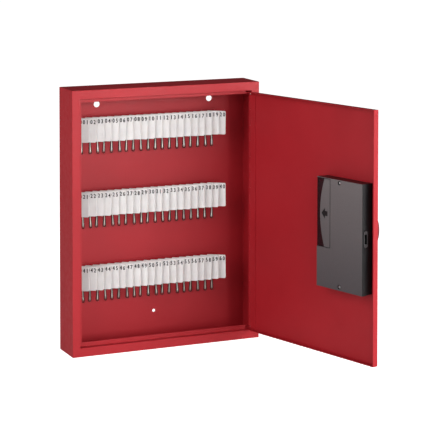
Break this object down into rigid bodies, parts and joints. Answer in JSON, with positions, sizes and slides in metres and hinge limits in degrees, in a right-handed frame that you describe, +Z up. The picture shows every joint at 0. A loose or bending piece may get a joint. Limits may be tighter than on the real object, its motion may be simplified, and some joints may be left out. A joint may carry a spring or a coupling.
{
  "type": "wall key cabinet",
  "caption": "Shallow steel wall cabinet with angled hooks for numbered key tags, a side-hinged door and a battery keypad lock with a turn knob.",
  "frame": {"origin": "middle of the back face, in the plane of the wall", "axes": "+X to the right seen from the front, +Y into the wall, +Z up; the door opens towards -Y and is modelled standing open"},
  "size_m": [0.4137, 0.342, 0.417],
  "materials": {
    "red_paint": "fine-textured satin powder coat, crimson red",
    "black_plastic": "satin black moulded ABS",
    "red_plastic": "satin dark red moulded plastic",
    "white_plastic": "satin white moulded plastic",
    "key_plastic": "light grey key caps",
    "steel_wire": "nickel-plated wire",
    "zinc_steel": "zinc-plated steel",
    "black_steel": "blackened steel",
    "brass_nickel": "nickel-plated brass",
    "battery_jacket": "printed battery jacket, no lettering",
    "board_green": "solder-masked circuit board",
    "silicone": "matt silicone",
    "cable_sheath": "matt cable sheath",
    "lens": "clear-tinted lamp lens"
  },
  "bodies": {
    "cabinet": {"case_shell": "red_paint", "back_panel": "red_paint", "hinge_frame_leaf": "red_paint", "hinge_pin": "zinc_steel", "hook_strip_top": "red_paint", "hook_strip_middle": "red_paint", "hook_strip_bottom": "red_paint"},
    "door": {"hinge_door_leaf": "red_paint", "door_panel": "red_paint", "lock_base": "black_plastic", "lock_cover": "black_plastic", "cover_screws": "zinc_steel", "batteries": "battery_jacket", "battery_contacts": "zinc_steel", "control_board": "board_green", "solenoid_body": "zinc_steel", "plunger_spring": "zinc_steel", "keypad_bezel": "black_plastic", "lock_mounting_screws": "zinc_steel", "dome_mat": "silicone", "keypad_board": "board_green", "wire_harness": "cable_sheath", "status_lenses": "lens", "cylinder_body": "brass_nickel", "cap_pivot": "zinc_steel"},
    "knob": {"knob_spindle": "zinc_steel", "knob": "red_plastic"},
    "bolt": {"bolt": "black_steel"},
    "plunger": {"solenoid_plunger": "zinc_steel"},
    "battery_cover": {"battery_cover": "black_plastic"},
    "cylinder_cap": {"cylinder_cap": "black_plastic"},
    "cylinder_plug": {"cylinder_plug": "brass_nickel"},
    "tags_top": {"key_tags_top": "white_plastic", "snap_hooks_top": "steel_wire"},
    "tags_middle": {"key_tags_middle": "white_plastic", "snap_hooks_middle": "steel_wire"},
    "tags_bottom": {"key_tags_bottom": "white_plastic", "snap_hooks_bottom": "steel_wire"},
    "key_1": {"key_1": "key_plastic"},
    "key_2": {"key_2": "key_plastic"},
    "key_3": {"key_3": "key_plastic"},
    "key_4": {"key_4": "key_plastic"},
    "key_5": {"key_5": "key_plastic"},
    "key_6": {"key_6": "key_plastic"},
    "key_7": {"key_7": "key_plastic"},
    "key_8": {"key_8": "key_plastic"},
    "key_9": {"key_9": "key_plastic"},
    "key_star": {"key_star": "key_plastic"},
    "key_0": {"key_0": "key_plastic"},
    "key_hash": {"key_hash": "key_plastic"}
  },
  "joints": [
    {"name": "door_swing", "type": "hinge", "parent": "cabinet", "child": "door", "pos_m": [0.1445, -0.06, 0], "axis": [0, 0, 1], "range_deg": [-105.7, 70]},
    {"name": "knob_turn", "type": "hinge", "parent": "door", "child": "knob", "pos_m": [0.21026, -0.29393, 0.0013], "axis": [-0.9627, -0.2706, 0], "range_deg": [-90, 0]},
    {"name": "bolt_throw", "type": "slide", "parent": "door", "child": "bolt", "axis": [-0.2706, 0.9627, 0], "range_m": [-0.01202, 0]},
    {"name": "plunger_drop", "type": "slide", "parent": "door", "child": "plunger", "axis": [0, 0, 1], "range_m": [-0.003, 0], "stiffness_N_per_m": 200, "deforming": ["plunger_spring"]},
    {"name": "battery_cover_slide", "type": "slide", "parent": "door", "child": "battery_cover", "axis": [-0.2706, 0.9627, 0], "range_m": [0, 0.03]},
    {"name": "cap_swing", "type": "hinge", "parent": "door", "child": "cylinder_cap", "pos_m": [0.21892, -0.2915, -0.033], "axis": [-0.9627, -0.2706, 0], "range_deg": [0, 100]},
    {"name": "key_plug_turn", "type": "hinge", "parent": "door", "child": "cylinder_plug", "pos_m": [0.21026, -0.29393, -0.05], "axis": [-0.9627, -0.2706, 0], "range_deg": [0, 90]},
    {"name": "tags_top_lift", "type": "slide", "parent": "cabinet", "child": "tags_top", "axis": [0, 0, 1], "range_m": [0, 0.003]},
    {"name": "tags_middle_lift", "type": "slide", "parent": "cabinet", "child": "tags_middle", "axis": [0, 0, 1], "range_m": [0, 0.003]},
    {"name": "tags_bottom_lift", "type": "slide", "parent": "cabinet", "child": "tags_bottom", "axis": [0, 0, 1], "range_m": [0, 0.003]},
    {"name": "key_1_press", "type": "slide", "parent": "door", "child": "key_1", "axis": [-0.9627, -0.2706, 0], "range_m": [0, 0.001], "stiffness_N_per_m": 300},
    {"name": "key_2_press", "type": "slide", "parent": "door", "child": "key_2", "axis": [-0.9627, -0.2706, 0], "range_m": [0, 0.001], "stiffness_N_per_m": 300},
    {"name": "key_3_press", "type": "slide", "parent": "door", "child": "key_3", "axis": [-0.9627, -0.2706, 0], "range_m": [0, 0.001], "stiffness_N_per_m": 300},
    {"name": "key_4_press", "type": "slide", "parent": "door", "child": "key_4", "axis": [-0.9627, -0.2706, 0], "range_m": [0, 0.001], "stiffness_N_per_m": 300},
    {"name": "key_5_press", "type": "slide", "parent": "door", "child": "key_5", "axis": [-0.9627, -0.2706, 0], "range_m": [0, 0.001], "stiffness_N_per_m": 300},
    {"name": "key_6_press", "type": "slide", "parent": "door", "child": "key_6", "axis": [-0.9627, -0.2706, 0], "range_m": [0, 0.001], "stiffness_N_per_m": 300},
    {"name": "key_7_press", "type": "slide", "parent": "door", "child": "key_7", "axis": [-0.9627, -0.2706, 0], "range_m": [0, 0.001], "stiffness_N_per_m": 300},
    {"name": "key_8_press", "type": "slide", "parent": "door", "child": "key_8", "axis": [-0.9627, -0.2706, 0], "range_m": [0, 0.001], "stiffness_N_per_m": 300},
    {"name": "key_9_press", "type": "slide", "parent": "door", "child": "key_9", "axis": [-0.9627, -0.2706, 0], "range_m": [0, 0.001], "stiffness_N_per_m": 300},
    {"name": "key_star_press", "type": "slide", "parent": "door", "child": "key_star", "axis": [-0.9627, -0.2706, 0], "range_m": [0, 0.001], "stiffness_N_per_m": 300},
    {"name": "key_0_press", "type": "slide", "parent": "door", "child": "key_0", "axis": [-0.9627, -0.2706, 0], "range_m": [0, 0.001], "stiffness_N_per_m": 300},
    {"name": "key_hash_press", "type": "slide", "parent": "door", "child": "key_hash", "axis": [-0.9627, -0.2706, 0], "range_m": [0, 0.001], "stiffness_N_per_m": 300}
  ],
  "couplings": [
    {"joint": "bolt_throw", "follows": "knob_turn", "m_per_rad": 0.0076527}
  ]
}
